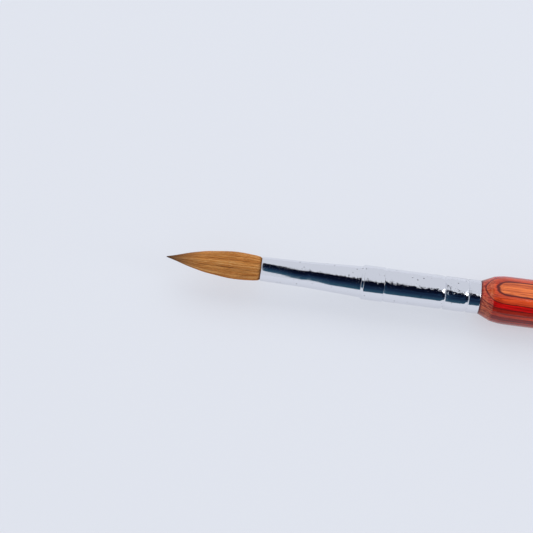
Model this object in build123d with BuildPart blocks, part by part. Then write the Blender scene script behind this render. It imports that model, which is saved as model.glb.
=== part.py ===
"""Acrylic nail brush: a sable tuft in a two-piece plated ferrule, crimped on a turned handle of dyed veneers.

Lengths are in millimetres. The brush's axis is X, with the tip of its hair towards -X, and the veneers of its
handle lie square to +Z. The origin is on the axis, at the middle of the brush's length. A station is a distance
along the brush from the tip of the hair, and a setback is measured forward from the piece named.
"""

from build123d import *
import math
import os

# Hair
hair_reach = 18.3  # free hair, from its tip to the mouth of the ferrule
belly_diameter = 5.3
belly_setback = 4.8  # from the mouth to the widest hair
flank_diameter = 3.7
flank_setback = 12.3  # from the mouth to the hair of that diameter
point_length = 2.1  # needle-fine end
point_diameter = 1.5
tip_diameter = 0.2
root_length = 13.0  # hair held inside the ferrule
tied_diameter = 4.0
tied_length = 4.0
thread_diameter = 0.3
thread_turns = 6
thread_setback = 1.0  # from the back end of the hair to the last turn of thread
resin_lead = 6.0  # resin round the hair, in front of its back end
resin_tail = 3.5  # resin behind the back end of the hair

# Ferrule
wall = 0.2
mouth_diameter = 4.7
nose_diameter = 5.0
nose_length = 8.6
cone_diameter = 6.05
cone_length = 10.7
flare_length = 0.4
socket_length = 4.0
barrel_diameter = 6.5
barrel_length = 18.5  # barrel in view, from the rim of the socket to the wood
spigot_step = 0.1  # the spigot's radius is this much smaller than the barrel's
neck_length = 0.6
lip_radius = 0.07  # rounding of the sheet's cut edges
crimp_setbacks = (7.0, 2.5)  # from the wood to each crimp, front one first
crimp_radius = 0.9
crimp_depth = 0.22

# Handle
handle_length = 117.6
shoulder_step = 0.075  # the wood starts this much inside the barrel's radius
bevel_diameter = 8.54
bevel_length = 2.4
swell_diameter = 9.3
swell_length = 3.1
grip_length = 14.0  # parallel part behind the swell
tail_diameter = 4.8
tenon_length = 13.0
tenon_chamfer = 0.4
glue_gap = 0.05  # film of glue between the tenon and the barrel
veneer_pitch = 0.85
top_glue_line = 4.36  # height of the highest glue line above the brush's axis
feather_loss = 2.5  # a layer's feather edge, too thin to survive sanding, is this much shorter than it could be

# Stations and radii that follow from those sizes
mouth = hair_reach
root_end = mouth + root_length
nose_end = mouth + nose_length
cone_end = nose_end + cone_length
socket_start = cone_end + flare_length
socket_rim = socket_start + socket_length
wood_front = socket_rim + barrel_length
tail_end = wood_front + handle_length
tenon_front = wood_front - tenon_length
crimp_stations = [wood_front - setback for setback in crimp_setbacks]
mouth_bore = mouth_diameter / 2 - wall
nose_bore = nose_diameter / 2 - wall
cone_bore = cone_diameter / 2 - wall
tied_radius = tied_diameter / 2
thread_radius = thread_diameter / 2
barrel_radius = barrel_diameter / 2
barrel_bore = barrel_radius - wall
spigot_radius = barrel_radius - spigot_step
socket_radius = spigot_radius + wall
tenon_radius = barrel_bore - glue_gap
shoulder_radius = barrel_radius - shoulder_step
swell_radius = swell_diameter / 2
tail_radius = tail_diameter / 2

# On this plane x is the station and y the distance from the brush's axis
tip = Vector(-tail_end / 2, 0, 0)
profile_plane = Plane(origin=tip, x_dir=(1, 0, 0), z_dir=(0, -1, 0))
brush_axis = Axis(tip, (1, 0, 0))


def crimped_side(start, end, radius):
    """Draws a line along the barrel at this radius, pushed in by an arc at each crimp."""
    arc_radius = crimp_radius + barrel_radius - radius
    half_width = math.sqrt(crimp_depth * (2 * arc_radius - crimp_depth))
    here = start
    for station in crimp_stations:
        Line((here, radius), (station - half_width, radius))
        ThreePointArc(
            (station - half_width, radius),
            (station, radius - crimp_depth),
            (station + half_width, radius),
        )
        here = station + half_width
    Line((here, radius), (end, radius))


os.makedirs("parts", exist_ok=True)

# Hair tuft: the free hair, which bends where it leaves the ferrule
with BuildPart() as hair_tuft:
    with BuildSketch(profile_plane):
        with BuildLine():
            side = Spline(
                (mouth, mouth_bore),
                (mouth - belly_setback, belly_diameter / 2),
                (mouth - flank_setback, flank_diameter / 2),
                (point_length, point_diameter / 2),
                tangents=[(-1, 0.3), (-0.85, -0.5)],
            )
            needle = Spline(side @ 1, (0, tip_diameter / 2), tangents=[side % 1, (-1, -0.12)])
            Polyline(needle @ 1, (0, 0), (mouth, 0), side @ 0)
        make_face()
    revolve(axis=brush_axis)
hair_tuft.part.label = "hair_tuft"
export_step(hair_tuft.part, "parts/hair_tuft.step")

# Hair root: the same bundle inside the ferrule, tied smaller at its back end
with BuildPart() as hair_root:
    with BuildSketch(profile_plane):
        with BuildLine():
            Polyline(
                (mouth, 0),
                (mouth, mouth_bore),
                (root_end - resin_lead, mouth_bore),
                (root_end - tied_length, tied_radius),
                (root_end, tied_radius),
                (root_end, 0),
                close=True,
            )
        make_face()
    revolve(axis=brush_axis)
hair_root.part.label = "hair_root"
export_step(hair_root.part, "parts/hair_root.step")

# Binding thread: close turns round the tied end, pressed flat against the hair
thread_pitch = 0.9 * thread_diameter
last_turn = root_end - thread_setback
turn_stations = [last_turn - turn * thread_pitch for turn in range(thread_turns)]
with BuildPart() as binding_thread:
    with BuildSketch(profile_plane):
        for station in turn_stations:
            with Locations((station, tied_radius + thread_radius)):
                Circle(thread_radius)
        with Locations(((turn_stations[0] + turn_stations[-1]) / 2, tied_radius + thread_radius / 2)):
            Rectangle(turn_stations[0] - turn_stations[-1], thread_radius)
    revolve(axis=brush_axis)
binding_thread.part.label = "binding_thread"
export_step(binding_thread.part, "parts/binding_thread.step")

# Resin plug: set round the tied hair and behind it, in the bore of the front ferrule
resin_front = root_end - resin_lead
resin_back = root_end + resin_tail
bore_slope = (cone_bore - nose_bore) / cone_length
with BuildPart() as resin_plug:
    with BuildSketch(profile_plane):
        with BuildLine():
            front_edge = (resin_front, mouth_bore + (nose_bore - mouth_bore) * (resin_front - mouth) / nose_length)
            back_edge = (resin_back, nose_bore + bore_slope * (resin_back - nose_end))
            Polyline((resin_front, 0), front_edge, (nose_end, nose_bore), back_edge, (resin_back, 0), close=True)
        make_face()
    revolve(axis=brush_axis)
    add(hair_root.part, mode=Mode.SUBTRACT)
    add(binding_thread.part, mode=Mode.SUBTRACT)
resin_plug.part.label = "resin_plug"
export_step(resin_plug.part, "parts/resin_plug.step")

# Front ferrule: drawn sheet tube, from the hair's mouth to the socket for the barrel
with BuildPart() as ferrule_front:
    with BuildSketch(profile_plane):
        with BuildLine():
            Polyline(
                (mouth, mouth_bore),
                (mouth, mouth_bore + wall),
                (nose_end, nose_bore + wall),
                (cone_end, cone_bore + wall),
                (socket_start, socket_radius),
                (socket_rim, socket_radius),
                (socket_rim, spigot_radius),
                (socket_start, spigot_radius),
                (cone_end, cone_bore),
                (nose_end, nose_bore),
                close=True,
            )
        make_face()
    revolve(axis=brush_axis)
    rims = ferrule_front.edges().filter_by(GeomType.CIRCLE).sort_by(Axis.X)
    fillet(rims[:2] + rims[-2:], radius=lip_radius)
ferrule_front.part.label = "ferrule_front"
export_step(ferrule_front.part, "parts/ferrule_front.step")

# Rear ferrule: a spigot in that socket, a neck, and the barrel with its rolled crimps
with BuildPart() as ferrule_rear:
    with BuildSketch(profile_plane):
        with BuildLine():
            Polyline(
                (socket_rim + neck_length, barrel_bore),
                (socket_rim, spigot_radius - wall),
                (socket_start, spigot_radius - wall),
                (socket_start, spigot_radius),
                (socket_rim, spigot_radius),
                (socket_rim + neck_length, barrel_radius),
            )
            crimped_side(socket_rim + neck_length, wood_front, barrel_radius)
            Line((wood_front, barrel_radius), (wood_front, barrel_bore))
            crimped_side(socket_rim + neck_length, wood_front, barrel_bore)
        make_face()
    revolve(axis=brush_axis)
    rims = ferrule_rear.edges().filter_by(GeomType.CIRCLE).sort_by(Axis.X)
    fillet(rims[-2:], radius=lip_radius)
ferrule_rear.part.label = "ferrule_rear"
export_step(ferrule_rear.part, "parts/ferrule_rear.step")

# Tenon glue: the film that fills the space between the tenon and the barrel
with BuildPart() as tenon_glue:
    with BuildSketch(profile_plane):
        with BuildLine():
            crimped_side(tenon_front + tenon_chamfer, wood_front - lip_radius, barrel_bore)
            crimped_side(tenon_front + tenon_chamfer, wood_front - lip_radius, tenon_radius)
            for station in (tenon_front + tenon_chamfer, wood_front - lip_radius):
                Line((station, tenon_radius), (station, barrel_bore))
        make_face()
    revolve(axis=brush_axis)
tenon_glue.part.label = "tenon_glue"
export_step(tenon_glue.part, "parts/tenon_glue.step")

# Turned handle: the whole block of veneers, from its tenon to its tail
bevel_end = wood_front + bevel_length
grip_start = bevel_end + swell_length
grip_end = grip_start + grip_length
dome_start = (tail_end - tail_radius, tail_radius)
with BuildPart() as turned_handle:
    with BuildSketch(profile_plane):
        with BuildLine():
            Polyline(
                (tenon_front, 0),
                (tenon_front, tenon_radius - tenon_chamfer),
                (tenon_front + tenon_chamfer, tenon_radius),
            )
            crimped_side(tenon_front + tenon_chamfer, wood_front, tenon_radius)
            Polyline(
                (wood_front, tenon_radius),
                (wood_front, shoulder_radius),
                (bevel_end, bevel_diameter / 2),
            )
            TangentArc((grip_start, swell_radius), (bevel_end, bevel_diameter / 2), tangent=(-1, 0))
            Line((grip_start, swell_radius), (grip_end, swell_radius))
            Spline((grip_end, swell_radius), dome_start, tangents=[(1, 0), (1, 0)])
            RadiusArc(dome_start, (tail_end, 0), tail_radius)
            Line((tail_end, 0), (tenon_front, 0))
        make_face()
    revolve(axis=brush_axis)

# Handle veneers: that block is level layers, each as thick as the pitch except the top and bottom ones, and an
# outer layer ends where sanding has worn away its feather edge
glue_lines = [swell_radius]
height = top_glue_line
while height > -swell_radius:
    glue_lines.append(height)
    height -= veneer_pitch
glue_lines.append(-swell_radius)
for number, (high, low) in enumerate(zip(glue_lines, glue_lines[1:]), start=1):
    with BuildPart() as veneer:
        add(turned_handle.part)
        with Locations((0, 0, (high + low) / 2)):
            Box(2 * tail_end, 2 * swell_diameter, high - low, mode=Mode.INTERSECT)
        feather_end = veneer.part.bounding_box().max.X
        if feather_end < turned_handle.part.bounding_box().max.X - tail_radius:
            split(bisect_by=Plane.YZ.offset(feather_end - feather_loss), keep=Keep.BOTTOM)
    veneer.part.label = f"handle_veneer_{number:02d}"
    export_step(veneer.part, f"parts/handle_veneer_{number:02d}.step")
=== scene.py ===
"""The looks of the acrylic nail brush: hair, plated ferrules and a turned, lacquered handle of veneers."""
import math
from functools import partial

import bmesh
import bpy
from mathutils import Matrix, Vector


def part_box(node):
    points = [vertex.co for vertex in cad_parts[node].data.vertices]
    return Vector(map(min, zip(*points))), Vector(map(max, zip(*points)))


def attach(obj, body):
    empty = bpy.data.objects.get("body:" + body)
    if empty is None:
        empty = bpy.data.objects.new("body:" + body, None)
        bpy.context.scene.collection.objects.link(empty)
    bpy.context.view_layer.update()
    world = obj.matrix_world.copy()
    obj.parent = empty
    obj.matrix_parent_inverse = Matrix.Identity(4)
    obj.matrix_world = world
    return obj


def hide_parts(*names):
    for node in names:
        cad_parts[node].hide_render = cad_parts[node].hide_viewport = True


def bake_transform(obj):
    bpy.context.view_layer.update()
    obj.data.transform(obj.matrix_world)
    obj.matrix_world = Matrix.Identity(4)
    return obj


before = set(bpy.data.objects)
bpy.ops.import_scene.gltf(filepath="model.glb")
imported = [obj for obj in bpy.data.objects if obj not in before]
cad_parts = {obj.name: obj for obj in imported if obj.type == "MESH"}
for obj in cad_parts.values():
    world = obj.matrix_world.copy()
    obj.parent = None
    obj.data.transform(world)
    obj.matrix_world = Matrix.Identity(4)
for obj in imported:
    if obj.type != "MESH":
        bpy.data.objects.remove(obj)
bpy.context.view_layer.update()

MM = 0.001

# Places along the brush, from the frame. Its axis is X, with the hair's tip towards -X.
TIP_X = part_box("hair_tuft")[0].x
MOUTH_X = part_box("hair_tuft")[1].x
SOCKET_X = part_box("ferrule_rear")[0].x
RIM_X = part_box("ferrule_front")[1].x
WOOD_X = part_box("ferrule_rear")[1].x
TENON_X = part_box("handle_veneer_07")[0].x
TAIL_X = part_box("handle_veneer_07")[1].x
ROOT_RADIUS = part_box("hair_root")[1].y
BELLY_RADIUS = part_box("hair_tuft")[1].y
COLLAR_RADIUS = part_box("ferrule_front")[1].y
BARREL_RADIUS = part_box("ferrule_rear")[1].y
SWELL_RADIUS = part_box("handle_veneer_07")[1].y
TOP_GLUE_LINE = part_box("handle_veneer_02")[1].z
PITCH = TOP_GLUE_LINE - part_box("handle_veneer_02")[0].z
VENEERS = [f"handle_veneer_{number:02d}" for number in range(1, 13)]

HAIR_REACH = MOUTH_X - TIP_X
WALL = 0.2 * MM
NOSE_LENGTH = 8.6 * MM
NOSE_RADIUS = 2.5 * MM
CONE_LENGTH = 10.7 * MM
CONE_RADIUS = 3.025 * MM
NECK_LENGTH = 0.6 * MM
SHOULDER_STEP = 0.075 * MM
GLUE_GAP = 0.05 * MM
CRIMP_SETBACKS = (7.0 * MM, 2.5 * MM)
CRIMP_DEPTH = 0.2 * MM
BEVEL_LENGTH = 2.4 * MM
BEVEL_RADIUS = 4.27 * MM
SWELL_LENGTH = 3.1 * MM
GRIP_LENGTH = 14.0 * MM
TAIL_RADIUS = 2.4 * MM


# ---- Building nodes ----

def place(tree, kind, inputs=None, **settings):
    """Adds a node, with its settings, and with each named input linked or given a value."""
    made = tree.nodes.new(kind)
    for name, value in settings.items():
        setattr(made, name, value)
    for key, value in (inputs or {}).items():
        if isinstance(value, bpy.types.NodeSocket):
            tree.links.new(value, made.inputs[key])
        else:
            made.inputs[key].default_value = value
    return made


def math_of(tree, operation, *values):
    return place(tree, "ShaderNodeMath", dict(enumerate(values)), operation=operation).outputs[0]


def remapped(tree, value, start, end, at_start, at_end):
    """The value between start and end, turned into one between at_start and at_end."""
    ends = {0: value, 1: start, 2: end, 3: at_start, 4: at_end}
    return place(tree, "ShaderNodeMapRange", ends).outputs[0]


def new_group(name, kind, inputs, outputs):
    """A node group with named sockets, each given as (name, socket type) or (name, socket type, default)."""
    tree = bpy.data.node_groups.new(name, kind)
    for label, socket_type, *default in inputs:
        socket = tree.interface.new_socket(label, in_out="INPUT", socket_type=socket_type)
        if default:
            socket.default_value = default[0]
    for label, socket_type in outputs:
        tree.interface.new_socket(label, in_out="OUTPUT", socket_type=socket_type)
    return tree, tree.nodes.new("NodeGroupInput").outputs, tree.nodes.new("NodeGroupOutput").inputs


def plain_mesh(carrier, tree, values, name):
    """Runs a geometry tree on the carrier, and keeps its result as a plain mesh object at the origin."""
    modifier = carrier.modifiers.new("build", "NODES")
    modifier.node_group = tree
    for item in tree.interface.items_tree:
        if item.in_out == "INPUT" and item.name in values:
            modifier[item.identifier] = values[item.name]
    evaluated = carrier.evaluated_get(bpy.context.evaluated_depsgraph_get())
    mesh = bpy.data.meshes.new_from_object(evaluated)
    mesh.name = name
    finish = values["Finish"]
    mesh.materials.clear()
    mesh.materials.append(finish)
    mesh.polygons.foreach_set("material_index", [0] * len(mesh.polygons))
    bpy.data.objects.remove(carrier)
    made = bpy.data.objects.new(name, mesh)
    bpy.context.collection.objects.link(made)
    return made


def carrier_of(name, points, attributes=None):
    """An object whose mesh is a chain of points, with values stored on them for a tree to read."""
    mesh = bpy.data.meshes.new(name)
    mesh.from_pydata(points, [(i, i + 1) for i in range(len(points) - 1)], [])
    for label, values in (attributes or {}).items():
        mesh.attributes.new(label, "FLOAT", "POINT").data.foreach_set("value", values)
    carrier = bpy.data.objects.new(name, mesh)
    bpy.context.collection.objects.link(carrier)
    return carrier


# ---- Outlines: lists of (x, radius, unevenness), from front to back ----

def rounded(corners, longest=0.6 * MM, steps=6):
    """An outline through (x, radius, corner rounding) points: corners are arcs, and long runs are divided."""
    turned_points = [Vector(corners[0][:2])]
    for before, here, after in zip(corners, corners[1:], corners[2:]):
        corner, size = Vector(here[:2]), here[2]
        back, ahead = Vector(before[:2]) - corner, Vector(after[:2]) - corner
        turn = math.pi - back.angle(ahead)
        if size == 0 or turn < 0.01:
            turned_points.append(corner)
            continue
        reach = min(size * math.tan(turn / 2), 0.45 * back.length, 0.45 * ahead.length)
        start, end = corner + back.normalized() * reach, corner + ahead.normalized() * reach
        for step in range(steps + 1):
            share = step / steps
            turned_points.append(start.lerp(corner, share).lerp(corner.lerp(end, share), share))
    turned_points.append(Vector(corners[-1][:2]))
    filled = [turned_points[0]]
    for point in turned_points[1:]:
        gap = (point - filled[-1]).length
        pieces = max(1, math.ceil(gap / longest))
        start = filled[-1]
        filled += [start.lerp(point, piece / pieces) for piece in range(1, pieces + 1)]
    return [(point.x, point.y, 0.0) for point in filled]


def crimped(start_x, end_x, radius, steps=14):
    """The side of the barrel, pushed in at each crimp: a long curve going in, and a short steep way out."""
    lead, bottom, back = -0.75 * MM, 0.12 * MM, 0.36 * MM
    side = [(start_x, radius, 0.0)]
    for setback in CRIMP_SETBACKS:
        middle = WOOD_X - setback
        for step in range(steps + 1):
            share = step / steps
            push = share ** 2
            side.append((middle + lead + (bottom - lead) * share, radius - CRIMP_DEPTH * push, push))
        for share in (0.25, 0.5, 0.75, 1.0):
            push = 1 - share * share * (3 - 2 * share)
            side.append((middle + bottom + (back - bottom) * share, radius - CRIMP_DEPTH * push, push))
    side.append((end_x, radius, 0.0))
    return side


def turned_tree():
    """Turns a chain of points about X. Each point's unevenness lets its radius vary round the piece."""
    tree, given, result = new_group(
        "turned_piece", "GeometryNodeTree",
        [("Outline", "NodeSocketGeometry"), ("Sides", "NodeSocketInt", 96),
         ("Unevenness", "NodeSocketFloat", 0.0), ("Finish", "NodeSocketMaterial")],
        [("Piece", "NodeSocketGeometry")])
    calc = partial(math_of, tree)
    size = place(tree, "GeometryNodeAttributeDomainSize", {"Geometry": given["Outline"]})
    rows = size.outputs["Point Count"]
    columns = calc("ADD", given["Sides"], 1)
    grid = place(tree, "GeometryNodeMeshGrid", {"Vertices X": rows, "Vertices Y": columns}).outputs["Mesh"]
    index = tree.nodes.new("GeometryNodeInputIndex").outputs[0]
    row = calc("FLOOR", calc("DIVIDE", calc("ADD", index, 0.5), columns))
    column = calc("SUBTRACT", index, calc("MULTIPLY", row, columns))

    def of_row(kind, field):
        sampled = {"Geometry": given["Outline"], "Value": field, "Index": row}
        return place(tree, "GeometryNodeSampleIndex", sampled, data_type=kind).outputs["Value"]

    spot = place(tree, "ShaderNodeSeparateXYZ",
                 {0: of_row("FLOAT_VECTOR", tree.nodes.new("GeometryNodeInputPosition").outputs[0])}).outputs
    give = of_row("FLOAT", place(tree, "GeometryNodeInputNamedAttribute", {"Name": "unevenness"},
                                 data_type="FLOAT").outputs["Attribute"])
    angle = calc("DIVIDE", calc("MULTIPLY", column, math.tau), given["Sides"])
    cosine, sine = calc("COSINE", angle), calc("SINE", angle)
    around = place(tree, "ShaderNodeCombineXYZ",
                   {0: calc("MULTIPLY", spot[0], 400.0), 1: cosine, 2: sine}).outputs[0]
    noise = place(tree, "ShaderNodeTexNoise", {"Vector": around, "Scale": 2.2, "Detail": 2.0}).outputs[0]
    swing = calc("MULTIPLY", calc("MULTIPLY", calc("SUBTRACT", noise, 0.5), give), given["Unevenness"])
    radius = calc("ADD", spot[1], swing)
    position = place(tree, "ShaderNodeCombineXYZ",
                     {0: spot[0], 1: calc("MULTIPLY", radius, cosine),
                      2: calc("MULTIPLY", radius, sine)}).outputs[0]
    shaped = place(tree, "GeometryNodeSetPosition", {"Geometry": grid, "Position": position}).outputs[0]
    closed = place(tree, "GeometryNodeMergeByDistance", {"Geometry": shaped, "Distance": 1e-7}).outputs[0]
    real = place(tree, "GeometryNodeRealizeInstances", {"Geometry": closed}).outputs[0]
    finished = place(tree, "GeometryNodeSetMaterial", {"Geometry": real, "Material": given["Finish"]})
    tree.links.new(finished.outputs[0], result["Piece"])
    return tree


def turn(name, outline, finish, sides=160, unevenness=0.0, closed=True):
    """A turned piece. A closed outline comes back to where it starts, so the piece is a shell or a solid."""
    points = outline + outline[:1] if closed else outline
    carrier = carrier_of(name + "_outline", [(x, radius, 0) for x, radius, _ in points],
                         {"unevenness": [give for _, _, give in points]})
    made = plain_mesh(carrier, TURNED, {"Sides": sides, "Unevenness": unevenness, "Finish": finish}, name)
    shell = bmesh.new()
    shell.from_mesh(made.data)
    bmesh.ops.remove_doubles(shell, verts=shell.verts, dist=1e-7)
    bmesh.ops.dissolve_degenerate(shell, edges=shell.edges, dist=1e-8)
    bmesh.ops.recalc_face_normals(shell, faces=shell.faces)
    for edge in shell.edges:
        edge.smooth = len(edge.link_faces) == 2 and edge.calc_face_angle() < math.radians(32)
    for face in shell.faces:
        face.smooth = True
    shell.to_mesh(made.data)
    shell.free()
    return made


# ---- Finishes ----

def new_finish(name):
    finish = bpy.data.materials.new(name)
    finish.use_nodes = True
    tree = finish.node_tree
    tree.nodes.clear()
    shader = tree.nodes.new("ShaderNodeBsdfPrincipled")
    output = tree.nodes.new("ShaderNodeOutputMaterial")
    tree.links.new(shader.outputs[0], output.inputs["Surface"])
    return finish, tree, shader


def millimetres(tree):
    """Object coordinates in millimetres."""
    spot = tree.nodes.new("ShaderNodeTexCoord").outputs["Object"]
    return place(tree, "ShaderNodeVectorMath", {0: spot, "Scale": 1 / MM}, operation="SCALE").outputs[0]


def stretched(tree, vector, scale):
    return place(tree, "ShaderNodeVectorMath", {0: vector, 1: scale}, operation="MULTIPLY").outputs[0]


def noise_of(tree, vector, scale, detail=2.0, roughness=0.5):
    return place(tree, "ShaderNodeTexNoise",
                 {"Vector": vector, "Scale": scale, "Detail": detail, "Roughness": roughness}).outputs[0]


def ramp_of(tree, factor, stops, interpolation="LINEAR"):
    ramp = place(tree, "ShaderNodeValToRGB", {"Fac": factor})
    ramp.color_ramp.interpolation = interpolation
    elements = ramp.color_ramp.elements
    while len(elements) < len(stops):
        elements.new(0.5)
    for element, (position, colour) in zip(elements, stops):
        element.position = position
        element.color = (*colour, 1.0) if len(colour) == 3 else colour
    return ramp.outputs[0]


def blended(tree, factor, first, second, mode="MIX"):
    mixed = place(tree, "ShaderNodeMix", data_type="RGBA", blend_type=mode)
    for socket, value in ((mixed.inputs[0], factor), (mixed.inputs[6], first), (mixed.inputs[7], second)):
        if isinstance(value, bpy.types.NodeSocket):
            tree.links.new(value, socket)
        else:
            socket.default_value = (*value, 1.0) if isinstance(value, tuple) and len(value) == 3 else value
    return mixed.outputs[2]


def srgb(red, green, blue):
    """A colour given as it looks, 0 to 255, as the linear values that shaders take."""
    def linear(value):
        value /= 255
        return value / 12.92 if value <= 0.04045 else ((value + 0.055) / 1.055) ** 2.4
    return linear(red), linear(green), linear(blue)


def pitted_group():
    """The fine pits and slow waves of a drawn, polished sheet: a height, and a mask of the deeper pits."""
    tree, given, result = new_group(
        "pitted_sheet", "ShaderNodeTree",
        [("Vector", "NodeSocketVector"), ("Pit Size", "NodeSocketFloat", 0.35),
         ("Waviness", "NodeSocketFloat", 0.3)],
        [("Height", "NodeSocketFloat"), ("Pits", "NodeSocketFloat")])
    calc = partial(math_of, tree)
    scale = calc("DIVIDE", 1.0, given["Pit Size"])
    fine = place(tree, "ShaderNodeTexNoise",
                 {"Vector": given["Vector"], "Scale": scale, "Detail": 3.0, "Roughness": 0.6}).outputs[0]
    slow = place(tree, "ShaderNodeTexNoise",
                 {"Vector": given["Vector"], "Scale": 0.35, "Detail": 1.0}).outputs[0]
    pits = place(tree, "ShaderNodeTexVoronoi", {"Vector": given["Vector"], "Scale": 1.1}).outputs["Distance"]
    deep = remapped(tree, pits, 0.1, 0.16, 1.0, 0.0)
    few = remapped(tree, slow, 0.48, 0.56, 0.0, 1.0)
    mask = calc("MULTIPLY", deep, few)
    coarse_scale = calc("MULTIPLY", scale, 0.42)
    coarse = place(tree, "ShaderNodeTexNoise",
                   {"Vector": given["Vector"], "Scale": coarse_scale, "Detail": 1.0}).outputs[0]
    broad = calc("ADD", calc("MULTIPLY", coarse, 1.3), calc("MULTIPLY", slow, given["Waviness"]))
    height = calc("ADD", calc("MULTIPLY", fine, 0.35), broad)
    tree.links.new(calc("SUBTRACT", height, mask), result["Height"])
    tree.links.new(mask, result["Pits"])
    return tree


def laminate_group():
    """Level layers with wavy glue lines: which layer, how near its glue line, and the grain along it."""
    tree, given, result = new_group(
        "veneer_layers", "ShaderNodeTree",
        [("Vector", "NodeSocketVector"), ("Pitch", "NodeSocketFloat", 0.85),
         ("Top Line", "NodeSocketFloat", 4.36), ("Waviness", "NodeSocketFloat", 0.2),
         ("Line Width", "NodeSocketFloat", 0.14)],
        [("Layer", "NodeSocketFloat"), ("Line", "NodeSocketFloat"), ("Grain", "NodeSocketFloat"),
         ("Streak", "NodeSocketFloat")])
    calc = partial(math_of, tree)
    spot = place(tree, "ShaderNodeSeparateXYZ", {0: given["Vector"]}).outputs
    slow = noise_of(tree, stretched(tree, given["Vector"], (0.12, 0.35, 0.35)), 1.0, 1.0)
    quick = noise_of(tree, stretched(tree, given["Vector"], (0.7, 1.3, 1.3)), 1.0, 2.0)
    sway = calc("ADD", calc("SUBTRACT", slow, 0.5), calc("MULTIPLY", calc("SUBTRACT", quick, 0.5), 0.35))
    height = calc("ADD", spot[2], calc("MULTIPLY", sway, given["Waviness"]))
    depth = calc("DIVIDE", calc("SUBTRACT", given["Top Line"], height), given["Pitch"])
    layer = calc("FLOOR", calc("ADD", depth, 1.0))
    fraction = calc("SUBTRACT", calc("ADD", depth, 1.0), layer)
    nearest = calc("MULTIPLY", calc("MINIMUM", fraction, calc("SUBTRACT", 1.0, fraction)), given["Pitch"])
    patchy = noise_of(tree, stretched(tree, given["Vector"], (0.25, 1.0, 1.0)), 1.7, 1.0)
    width = calc("MULTIPLY", given["Line Width"], calc("ADD", patchy, 0.35))
    edge = calc("SUBTRACT", 1.0, calc("DIVIDE", nearest, width))
    line = place(tree, "ShaderNodeClamp", {0: calc("MULTIPLY", edge, 1.6)}).outputs[0]
    tree.links.new(layer, result["Layer"])
    tree.links.new(line, result["Line"])
    grain = noise_of(tree, stretched(tree, given["Vector"], (0.2, 3.6, 5.0)), 1.0, 3.0, 0.65)
    streak = noise_of(tree, stretched(tree, given["Vector"], (0.06, 1.6, 1.6)), 1.0, 1.0)
    tree.links.new(grain, result["Grain"])
    tree.links.new(streak, result["Streak"])
    return tree


def plating_finish():
    """Bright nickel plate on drawn brass, fine-pitted, with more pits along its upper side."""
    finish, tree, shader = new_finish("nickel_plating")
    calc = partial(math_of, tree)
    spot = millimetres(tree)
    sheet = place(tree, "ShaderNodeGroup", node_tree=PITTED)
    tree.links.new(spot, sheet.inputs["Vector"])
    sheet.inputs["Pit Size"].default_value = 0.3
    split = place(tree, "ShaderNodeSeparateXYZ", {0: spot}).outputs
    upper = remapped(tree, split[2], 2.3, 3.0, 0.06, 1.0)
    rear = remapped(tree, split[0], RIM_X / MM - 4.0, WOOD_X / MM - 6.0, 0.3, 1.0)
    height = calc("MULTIPLY", sheet.outputs["Height"], calc("MULTIPLY", upper, rear))
    bump = place(tree, "ShaderNodeBump", {"Strength": 1.0, "Distance": 0.00012, "Height": height})
    base = blended(tree, sheet.outputs["Pits"], srgb(232, 233, 238), srgb(110, 112, 120))
    rough = remapped(tree, sheet.outputs["Height"], 0.7, 1.3, 0.05, 0.12)
    shader.inputs["Metallic"].default_value = 1.0
    tree.links.new(base, shader.inputs["Base Color"])
    tree.links.new(rough, shader.inputs["Roughness"])
    tree.links.new(bump.outputs[0], shader.inputs["Normal"])
    return finish


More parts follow.
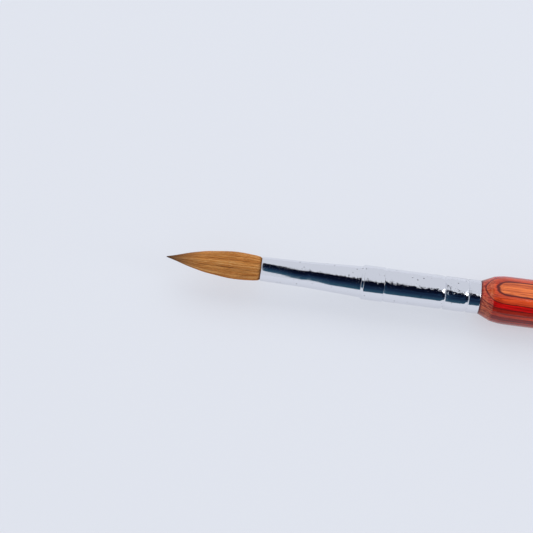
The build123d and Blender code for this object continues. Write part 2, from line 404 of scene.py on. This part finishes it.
def lacquered_veneer_finish():
    """Dyed veneers under clear gloss lacquer."""
    finish, tree, shader = new_finish("lacquered_veneers")
    calc = partial(math_of, tree)
    spot = millimetres(tree)
    layers = place(tree, "ShaderNodeGroup", node_tree=LAMINATE)
    tree.links.new(spot, layers.inputs["Vector"])
    layers.inputs["Pitch"].default_value = PITCH / MM
    layers.inputs["Top Line"].default_value = TOP_GLUE_LINE / MM
    layers.inputs["Line Width"].default_value = 0.1
    dyes = [srgb(240, 124, 62), srgb(222, 80, 36), srgb(216, 10, 6), srgb(164, 36, 14), srgb(190, 54, 24),
            srgb(124, 8, 4), srgb(172, 42, 18), srgb(186, 66, 32), srgb(140, 12, 8), srgb(190, 56, 28),
            srgb(208, 84, 44), srgb(170, 24, 14)]
    share = calc("DIVIDE", calc("ADD", layers.outputs["Layer"], 0.5), len(dyes))
    steps = [(number / len(dyes), colour) for number, colour in enumerate(dyes)]
    dye = ramp_of(tree, share, steps, "CONSTANT")
    light = ramp_of(tree, layers.outputs["Grain"],
                    [(0.34, (0.34, 0.14, 0.12)), (0.46, (0.84, 0.74, 0.72)), (0.55, (1.0, 1.0, 1.0)),
                     (0.7, (1.25, 1.4, 1.3))])
    grained = blended(tree, 0.8, dye, light, "MULTIPLY")
    streak = ramp_of(tree, layers.outputs["Streak"], [(0.35, (0.62, 0.45, 0.45)), (0.55, (1.0, 1.0, 1.0))])
    streaked = blended(tree, 0.8, grained, streak, "MULTIPLY")
    across = place(tree, "ShaderNodeSeparateXYZ", {0: spot}).outputs[0]
    bevel_end = (WOOD_X + BEVEL_LENGTH) / MM
    # On the bevel, lighter pinkish-brown streaks are blended over the dyes: cut-grain streaks together with a
    # painted reflection of the pale surroundings, which lightens the bevel.
    bevel_haze_share = remapped(tree, across, bevel_end + 0.1, bevel_end - 0.35, 0.0, 0.58)
    fibres = noise_of(tree, stretched(tree, spot, (0.55, 2.2, 4.4)), 1.0, 3.0, 0.6)
    bevel_grain_and_haze = ramp_of(tree, fibres,
                        [(0.36, srgb(86, 22, 12)), (0.47, srgb(172, 78, 46)), (0.62, srgb(212, 124, 82))])
    streaked = blended(tree, bevel_haze_share, streaked, bevel_grain_and_haze)
    lined = blended(tree, layers.outputs["Line"], streaked, srgb(98, 18, 12))
    edge = remapped(tree, across, WOOD_X / MM + 0.15, WOOD_X / MM + 0.4, 0.85, 0.0)
    lined = blended(tree, edge, lined, srgb(96, 14, 8))
    tree.links.new(lined, shader.inputs["Base Color"])
    bump = place(tree, "ShaderNodeBump",
                 {"Strength": 0.15, "Distance": 0.00003, "Height": layers.outputs["Grain"]})
    tree.links.new(bump.outputs[0], shader.inputs["Normal"])
    shader.inputs["Roughness"].default_value = 0.6
    shader.inputs["Specular IOR Level"].default_value = 0.05
    shader.inputs["Coat Weight"].default_value = 1.0
    shader.inputs["Coat Roughness"].default_value = 0.06
    shader.inputs["Coat IOR"].default_value = 1.42
    return finish


def hair_finish(name, brightness):
    """Sable hair: straw to dark brown, greyer towards its point and dark at its very end, with painted shade
    where it goes into the mouth.
    """
    finish, tree, shader = new_finish(name)
    tint = place(tree, "ShaderNodeAttribute", attribute_name="tint").outputs["Fac"]
    along = place(tree, "ShaderNodeAttribute", attribute_name="along").outputs["Fac"]
    colour = ramp_of(tree, tint,
                     [(0.0, srgb(116, 56, 8)), (0.3, srgb(180, 108, 40)), (0.65, srgb(218, 150, 74)),
                      (1.0, srgb(240, 196, 128))])
    # Along each hair: the first stop is painted shade at and inside the mouth; the later stops are the hair's
    # own greyer, darker point.
    point = ramp_of(tree, along,
                    [(0.0, (0.45, 0.4, 0.38)), (0.03, (1.0, 1.0, 1.0)), (0.62, (1.0, 1.0, 1.0)),
                     (0.8, (0.66, 0.66, 0.78)), (0.93, (0.34, 0.34, 0.46)), (1.0, (0.1, 0.1, 0.13))])
    shaded = blended(tree, 1.0, colour, point, "MULTIPLY")
    # A brightness below 1 gives a darker copy of the same hair: painted shade for a deeper layer.
    toned = blended(tree, 1.0, shaded, (brightness, brightness, brightness), "MULTIPLY")
    tree.links.new(toned, shader.inputs["Base Color"])
    shader.inputs["Roughness"].default_value = 0.42
    shader.inputs["Specular IOR Level"].default_value = 0.3
    return finish


def plain_finish(name, colour, roughness, grain, transmission=0.0):
    """A quiet finish for a sealed piece: one colour with a soft mottle."""
    finish, tree, shader = new_finish(name)
    mottle = noise_of(tree, millimetres(tree), grain, 3.0)
    tone = ramp_of(tree, mottle, [(0.3, tuple(0.75 * part for part in colour)), (0.7, colour)])
    tree.links.new(tone, shader.inputs["Base Color"])
    shader.inputs["Roughness"].default_value = roughness
    shader.inputs["Transmission Weight"].default_value = transmission
    return finish


# ---- Ferrule and handle ----

def front_ferrule(finish):
    """The tube from its rolled mouth over the nose and cone to the flared socket."""
    nose_x = MOUTH_X + NOSE_LENGTH
    cone_x = nose_x + CONE_LENGTH
    mouth_radius = ROOT_RADIUS + WALL
    lip, bead = 0.09 * MM, 0.06 * MM
    corners = [
        (nose_x, NOSE_RADIUS - WALL, 0), (MOUTH_X, mouth_radius - WALL, lip), (MOUTH_X, mouth_radius, lip),
        (nose_x, NOSE_RADIUS, 40 * MM), (cone_x, CONE_RADIUS, 0.25 * MM),
        (SOCKET_X + 0.05 * MM, COLLAR_RADIUS, 0.25 * MM), (RIM_X, COLLAR_RADIUS, bead),
        (RIM_X, COLLAR_RADIUS - WALL, bead), (SOCKET_X, COLLAR_RADIUS - WALL, 0.3 * MM),
        (cone_x, CONE_RADIUS - WALL, 0), (nose_x, NOSE_RADIUS - WALL, 0)]
    return turn("front_ferrule", rounded(corners, longest=0.8 * MM)[:-1], finish)


def rear_ferrule(finish):
    """The barrel, with its spigot in the socket, its two crimps and its rolled end against the wood."""
    neck_x = RIM_X + NECK_LENGTH
    spigot = COLLAR_RADIUS - WALL
    bore = BARREL_RADIUS - WALL
    rolled = 0.15 * MM
    outer = crimped(neck_x, WOOD_X - rolled, BARREL_RADIUS)
    for angle in (20, 40, 60, 75):
        turn_in = math.radians(angle)
        back_from = rolled * (1 - math.sin(turn_in))
        drop = rolled * (1 - math.cos(turn_in))
        outer.append((WOOD_X - back_from, BARREL_RADIUS - drop, 0.0))
    inner = crimped(neck_x, WOOD_X, bore)
    front = rounded([
        (neck_x, bore, 0), (RIM_X, spigot - WALL, 0.2 * MM), (SOCKET_X, spigot - WALL, 0.05 * MM),
        (SOCKET_X, spigot, 0.05 * MM), (RIM_X, spigot, 0.2 * MM), (neck_x, BARREL_RADIUS, 0)])[1:-1]
    return turn("rear_ferrule", front + outer + inner[::-1], finish, unevenness=0.14 * MM)


def turned_handle(finish):
    """The whole turned handle: tenon, coned shoulder, swell, grip, taper and round tail."""
    tenon = BARREL_RADIUS - WALL - GLUE_GAP
    chamfer = 0.4 * MM
    bevel_x = WOOD_X + BEVEL_LENGTH
    grip_x = bevel_x + SWELL_LENGTH
    taper_x = grip_x + GRIP_LENGTH
    dome_x = TAIL_X - TAIL_RADIUS
    outline = [(TENON_X, 0.0, 0.0), (TENON_X, tenon - chamfer, 0.0)]
    outline += crimped(TENON_X + chamfer, WOOD_X, tenon)
    swell = SWELL_RADIUS - BEVEL_RADIUS
    shoulder = BARREL_RADIUS - SHOULDER_STEP
    outline += rounded([(WOOD_X, shoulder, 0), (bevel_x, BEVEL_RADIUS, 0.25 * MM),
                        (bevel_x + 0.7 * MM, BEVEL_RADIUS + 0.4 * swell, 2 * MM),
                        (bevel_x + 1.8 * MM, BEVEL_RADIUS + 0.86 * swell, 3 * MM),
                        (grip_x, SWELL_RADIUS, 6 * MM), (taper_x, SWELL_RADIUS, 0)], longest=0.5 * MM)
    taper_steps, dome_steps = 60, 14
    for step in range(1, taper_steps):
        share = step / taper_steps
        eased = share * share * (3 - 2 * share)
        radius = SWELL_RADIUS + (TAIL_RADIUS - SWELL_RADIUS) * eased
        outline.append((taper_x + (dome_x - taper_x) * share, radius, 0.0))
    for step in range(dome_steps + 1):
        angle = math.pi / 2 * step / dome_steps
        outline.append((dome_x + TAIL_RADIUS * math.sin(angle), TAIL_RADIUS * math.cos(angle), 0.0))
    return turn("turned_handle", outline, finish, sides=200, closed=False)


# ---- Hair ----

# Half-width of the tuft against the distance from the mouth, both as shares of the largest
TUFT_SHAPE = [(0.0, 0.80), (0.03, 0.88), (0.104, 0.936), (0.26, 0.995), (0.364, 0.96), (0.468, 0.872),
              (0.573, 0.78), (0.677, 0.635), (0.78, 0.455), (0.885, 0.235), (0.95, 0.11), (1.0, 0.025)]


def tuft_share(share):
    """The tuft's half-width at a share of its reach, by straight lines between the shape's points."""
    for (near, wide), (far, thin) in zip(TUFT_SHAPE, TUFT_SHAPE[1:]):
        if share <= far:
            return wide + (thin - wide) * (share - near) / (far - near)
    return TUFT_SHAPE[-1][1]


def hair_tree():
    """Tapered hairs that start inside the mouth and follow the tuft's shape, each at its own depth."""
    tree, given, result = new_group(
        "hairs", "GeometryNodeTree",
        [("Carrier", "NodeSocketGeometry"), ("Hairs", "NodeSocketInt", 900), ("Steps", "NodeSocketInt", 16),
         ("Mouth", "NodeSocketFloat", 0.0), ("Reach", "NodeSocketFloat", 0.018),
         ("Belly", "NodeSocketFloat", 0.0026), ("Thickness", "NodeSocketFloat", 0.00005),
         ("Shallowest", "NodeSocketFloat", 0.9), ("Shortest", "NodeSocketFloat", 0.7),
         ("Seed", "NodeSocketInt", 1), ("Finish", "NodeSocketMaterial")],
        [("Tuft", "NodeSocketGeometry")])
    calc = partial(math_of, tree)

    def random_between(low, high, offset):
        limits = {2: low, 3: high, "Seed": calc("ADD", given["Seed"], offset)}
        return place(tree, "FunctionNodeRandomValue", limits, data_type="FLOAT").outputs[1]

    def stored(geometry, label, field):
        return place(tree, "GeometryNodeStoreNamedAttribute",
                     {"Geometry": geometry, "Name": label, "Value": field}, data_type="FLOAT",
                     domain="POINT").outputs[0]

    def read(label):
        named = place(tree, "GeometryNodeInputNamedAttribute", {"Name": label}, data_type="FLOAT")
        return named.outputs["Attribute"]

    points = place(tree, "GeometryNodePoints", {"Count": given["Hairs"]}).outputs[0]
    angle = random_between(0.0, math.tau, 0)
    points = stored(points, "angle", angle)
    points = stored(points, "depth", random_between(given["Shallowest"], 1.0, 1))
    points = stored(points, "length", calc("POWER", random_between(0.0, 1.0, 2), 0.55))
    points = stored(points, "drift", random_between(-1.0, 1.0, 3))
    lock = place(tree, "ShaderNodeCombineXYZ",
                 {0: calc("COSINE", read("angle")), 1: calc("SINE", read("angle")),
                  2: read("depth")}).outputs[0]
    locks = place(tree, "ShaderNodeTexNoise", {"Vector": lock, "Scale": 5.0, "Detail": 2.0}).outputs[0]
    own = random_between(0.0, 1.0, 4)
    tint = calc("ADD", calc("MULTIPLY", own, 0.55), calc("MULTIPLY", calc("SUBTRACT", locks, 0.25), 0.9))
    points = stored(points, "tint", tint)
    line = place(tree, "GeometryNodeCurvePrimitiveLine").outputs[0]
    line = place(tree, "GeometryNodeResampleCurve", {"Curve": line, "Count": given["Steps"]}).outputs[0]
    hairs = place(tree, "GeometryNodeInstanceOnPoints", {"Points": points, "Instance": line}).outputs[0]
    hairs = place(tree, "GeometryNodeRealizeInstances", {"Geometry": hairs}).outputs[0]

    share = tree.nodes.new("GeometryNodeSplineParameter").outputs["Factor"]
    spare = calc("SUBTRACT", 1.0, given["Shortest"])
    own_reach = calc("ADD", given["Shortest"], calc("MULTIPLY", spare, read("length")))
    inside = 0.03
    whole = calc("ADD", own_reach, inside)
    place_along = calc("SUBTRACT", calc("MULTIPLY", share, whole), inside)
    hairs = stored(hairs, "along", place_along)
    along = read("along")
    shape = place(tree, "ShaderNodeFloatCurve", {"Value": along})
    curve = shape.mapping.curves[0]
    curve.points[0].location = TUFT_SHAPE[0]
    curve.points[1].location = TUFT_SHAPE[-1]
    for spot in TUFT_SHAPE[1:-1]:
        curve.points.new(*spot)
    shape.mapping.update()
    drift = read("drift")
    wave = calc("ADD", calc("MULTIPLY", along, 5.0), calc("MULTIPLY", drift, 9.0))
    wander = calc("MULTIPLY", calc("SINE", wave), 0.05)
    crossing = calc("MULTIPLY", calc("MULTIPLY", along, drift), 0.22)
    heading = calc("ADD", read("angle"), calc("ADD", wander, crossing))
    ripple = calc("SINE", calc("MULTIPLY", calc("ADD", along, drift), 14.0))
    own_depth = calc("ADD", read("depth"), calc("MULTIPLY", ripple, 0.012))
    radius = calc("MULTIPLY", given["Belly"], calc("MULTIPLY", shape.outputs[0], own_depth))
    position = place(tree, "ShaderNodeCombineXYZ",
                     {0: calc("SUBTRACT", given["Mouth"], calc("MULTIPLY", along, given["Reach"])),
                      1: calc("MULTIPLY", radius, calc("COSINE", heading)),
                      2: calc("MULTIPLY", radius, calc("SINE", heading))}).outputs[0]
    hairs = place(tree, "GeometryNodeSetPosition", {"Geometry": hairs, "Position": position}).outputs[0]
    taper = own_taper(tree, share)
    section = place(tree, "GeometryNodeCurvePrimitiveCircle", {"Resolution": 4, "Radius": 1.0}).outputs[0]
    mesh = place(tree, "GeometryNodeCurveToMesh",
                 {"Curve": hairs, "Profile Curve": section, "Fill Caps": True,
                  "Scale": calc("MULTIPLY", given["Thickness"], taper)}).outputs[0]
    mesh = place(tree, "GeometryNodeSetShadeSmooth", {"Geometry": mesh}).outputs[0]
    mesh = place(tree, "GeometryNodeRealizeInstances", {"Geometry": mesh}).outputs[0]
    mesh = place(tree, "GeometryNodeSetMaterial", {"Geometry": mesh, "Material": given["Finish"]}).outputs[0]
    tree.links.new(mesh, result["Tuft"])
    return tree


def own_taper(tree, share):
    """A hair's own taper: full for most of its length, fine at its end."""
    curve_node = place(tree, "ShaderNodeFloatCurve", {"Value": share})
    curve = curve_node.mapping.curves[0]
    curve.points[0].location = (0.0, 0.8)
    curve.points[1].location = (1.0, 0.12)
    curve.points.new(0.45, 1.0)
    curve.points.new(0.8, 0.75)
    curve_node.mapping.update()
    return curve_node.outputs[0]


def grow(name, tree, finish, hairs, thickness, shallowest, shortest, seed):
    """One layer of the tuft's hairs, as a plain mesh."""
    values = {"Hairs": hairs, "Steps": 18, "Mouth": MOUTH_X, "Reach": HAIR_REACH,
              "Belly": BELLY_RADIUS - thickness, "Thickness": thickness, "Shallowest": shallowest,
              "Shortest": shortest, "Seed": seed, "Finish": finish}
    return plain_mesh(carrier_of(name + "_carrier", [(0, 0, 0), (0, 0, MM)]), tree, values, name)


def hair_core(finish):
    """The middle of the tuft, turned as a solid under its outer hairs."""
    steps = 40
    outline = [(MOUTH_X + 0.4 * MM, 0.0, 0.0), (MOUTH_X + 0.4 * MM, 0.8 * ROOT_RADIUS, 0.0)]
    for step in range(steps + 1):
        share = 0.985 * step / steps
        radius = (0.86 - 0.25 * share) * BELLY_RADIUS * tuft_share(share)
        outline.append((MOUTH_X - share * HAIR_REACH, radius, 1.0))
    outline.append((MOUTH_X - 0.995 * HAIR_REACH, 0.0, 0.0))
    return turn("hair_core", outline, finish, sides=96, unevenness=0.25 * MM, closed=False)


# ---- Stage ----

def stage_plane(name, corners, finish):
    mesh = bpy.data.meshes.new(name)
    mesh.from_pydata(corners, [], [(0, 1, 2, 3)])
    made = bpy.data.objects.new(name, mesh)
    bpy.context.collection.objects.link(made)
    mesh.materials.append(finish)
    return made


def floor():
    """A pale floor under the brush, which rests on the back of its grip and on its tail."""
    finish, tree, shader = new_finish("pale_floor")
    shader.inputs["Base Color"].default_value = (0.30, 0.31, 0.325, 1.0)
    shader.inputs["Emission Color"].default_value = (0.465, 0.478, 0.52, 1.0)
    shader.inputs["Emission Strength"].default_value = 1.0
    shader.inputs["Roughness"].default_value = 0.7
    shader.inputs["Specular IOR Level"].default_value = 0.1
    grip_end = WOOD_X + BEVEL_LENGTH + SWELL_LENGTH + GRIP_LENGTH
    slope = (SWELL_RADIUS - TAIL_RADIUS) / (TAIL_X - TAIL_RADIUS - grip_end)
    size = 3.0
    corners = [(x, y, -SWELL_RADIUS - 0.02 * MM + slope * (x - grip_end))
               for x, y in ((-size, -size), (size, -size), (size, size), (-size, size))]
    return stage_plane("floor", corners, finish)


def glossy_only(made):
    made.visible_camera = False
    made.visible_diffuse = False
    made.visible_shadow = False
    made.visible_transmission = False
    made.visible_volume_scatter = False


def panel(name, edges, colours, strength=1.0, radius=0.07):
    """A curved panel close round the brush, seen only in reflections.

    Each edge is (x in mm from the mouth, lowest elevation, highest elevation), on the side towards -Y.
    """
    finish = bpy.data.materials.new(name)
    finish.use_nodes = True
    tree = finish.node_tree
    tree.nodes.clear()
    output = tree.nodes.new("ShaderNodeOutputMaterial")
    share = place(tree, "ShaderNodeAttribute", attribute_name="share").outputs["Fac"]
    glow = place(tree, "ShaderNodeEmission", {"Color": ramp_of(tree, share, colours), "Strength": strength})
    tree.links.new(glow.outputs[0], output.inputs["Surface"])
    steps = 32
    verts, shares, faces = [], [], []
    for x, low, high in edges:
        for step in range(steps + 1):
            angle = math.radians(low + (high - low) * step / steps)
            verts.append((MOUTH_X + x * MM, -radius * math.cos(angle), radius * math.sin(angle)))
            shares.append(step / steps)
    for column in range(len(edges) - 1):
        for step in range(steps):
            first = column * (steps + 1) + step
            faces.append((first, first + 1, first + steps + 2, first + steps + 1))
    mesh = bpy.data.meshes.new(name)
    mesh.from_pydata(verts, [], faces)
    mesh.attributes.new("share", "FLOAT", "POINT").data.foreach_set("value", shares)
    mesh.materials.append(finish)
    made = bpy.data.objects.new(name, mesh)
    bpy.context.collection.objects.link(made)
    glossy_only(made)
    return made


def lamp(name, spot, target, size, power, colour=(1.0, 1.0, 1.0)):
    light = bpy.data.lights.new(name, "AREA")
    light.shape = "RECTANGLE"
    light.size, light.size_y = size
    light.energy = power
    light.color = colour
    made = bpy.data.objects.new(name, light)
    bpy.context.collection.objects.link(made)
    made.location = spot
    made.rotation_euler = (Vector(target) - Vector(spot)).to_track_quat("-Z", "Y").to_euler()
    return made


def surroundings():
    """A pale room with a soft overhead light, a small light past the tail, and the reflected panels."""
    world = bpy.data.worlds.new("pale_room")
    bpy.context.scene.world = world
    world.use_nodes = True
    tree = world.node_tree
    background = tree.nodes["Background"]
    background.inputs["Color"].default_value = (*srgb(226, 230, 239), 1.0)
    background.inputs["Strength"].default_value = 0.93
    middle = (MOUTH_X + 20 * MM, 0, 0)
    overhead = lamp("overhead", (MOUTH_X + 0.1, 0.45, 0.75), middle, size=(0.9, 0.7), power=2.3,
                    colour=(1.0, 0.99, 0.97))
    overhead.visible_glossy = False
    lamp("end_light", (MOUTH_X + 0.6, -0.12, 0.28), middle, size=(0.12, 0.3), power=0.5)
    edges = [(-400, -4, 74), (-36, -4, 74), (-35, 73, 74), (-8, 73, 74), (-6, 42, 116), (-2, 40, 115),
             (2.6, 29, 105), (4.5, 14, 91), (7, 9, 88), (10, -3, 84), (16, -4, 78), (24, -8, 68),
             (62, -8, 68), (100, -8, 42), (160, -8, 28), (260, -8, 28)]
    panel("dark_side", edges,
          [(0.0, (0.16, 0.24, 0.32)), (0.06, (0.03, 0.09, 0.14)), (0.4, (0.012, 0.03, 0.07)),
           (0.6, (0.003, 0.006, 0.02)), (0.94, (0.002, 0.002, 0.008)), (1.0, (0.05, 0.05, 0.06))])
    panel("bright_end", [(60, 69, 70), (100, 44, 72), (150, 32, 72)],
          [(0.0, (1.0, 1.0, 1.0)), (1.0, (1.0, 1.0, 1.0))], strength=3.0)


def camera():
    """A long lens above the brush, turned a little so that the handle runs down to the right."""
    elevation, roll = math.radians(58), math.radians(7.4)
    distance, lens = 340 * MM, 119.6
    along = Vector((1, 0, 0))
    level_up = Vector((0, math.sin(elevation), math.cos(elevation)))
    toward = Vector((0, -math.cos(elevation), math.sin(elevation)))
    right = along * math.cos(roll) + level_up * math.sin(roll)
    up = -along * math.sin(roll) + level_up * math.cos(roll)
    ahead, above = 0.98 * MM, 0.56 * MM
    target = Vector((MOUTH_X + ahead, 0, 0)) + level_up * above
    data = bpy.data.cameras.new("camera")
    data.lens = lens
    data.sensor_width = 36
    data.clip_start = 0.01
    made = bpy.data.objects.new("camera", data)
    bpy.context.collection.objects.link(made)
    made.matrix_world = Matrix((
        (right.x, up.x, toward.x, 0), (right.y, up.y, toward.y, 0), (right.z, up.z, toward.z, 0),
        (0, 0, 0, 1)))
    made.location = target + toward * distance
    bpy.context.scene.camera = made


# ---- Making it ----

bpy.context.scene.view_settings.view_transform = "Standard"
PITTED = pitted_group()
LAMINATE = laminate_group()
TURNED = turned_tree()
HAIRS = hair_tree()

camera()
surroundings()
floor()

nickel = plating_finish()
front = front_ferrule(nickel)
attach(front, "handle")
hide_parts("ferrule_front")
rear = rear_ferrule(nickel)
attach(rear, "handle")
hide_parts("ferrule_rear")

handle = turned_handle(lacquered_veneer_finish())
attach(handle, "handle")
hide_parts(*VENEERS)

outer = grow("outer_hairs", HAIRS, hair_finish("outer_hair", brightness=1.0),
             hairs=1150, thickness=0.045 * MM, shallowest=0.93, shortest=0.72, seed=11)
# The under hairs are the same hair darkened to 0.8: painted shade deep in the tuft.
under = grow("under_hairs", HAIRS, hair_finish("under_hair", brightness=0.8),
             hairs=700, thickness=0.05 * MM, shallowest=0.78, shortest=0.8, seed=47)
# The core's darker brown is painted shade between and under the outer hairs.
core = hair_core(plain_finish("packed_hair", srgb(110, 66, 32), roughness=0.6, grain=3.0))
for tuft_piece in (outer, under, core):
    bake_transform(tuft_piece)
    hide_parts("hair_tuft")

sealed_finishes = {
    "hair_root": plain_finish("root_hair", srgb(120, 76, 40), roughness=0.6, grain=6.0),
    "binding_thread": plain_finish("waxed_thread", srgb(216, 206, 182), roughness=0.8, grain=9.0),
    "resin_plug": plain_finish("set_resin", srgb(190, 140, 70), roughness=0.15, grain=0.8, transmission=0.6),
    "tenon_glue": plain_finish("wood_glue", srgb(226, 214, 180), roughness=0.5, grain=2.0)}
for node, finish in sealed_finishes.items():
    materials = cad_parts[node].data.materials
    materials.clear()
    materials.append(finish)
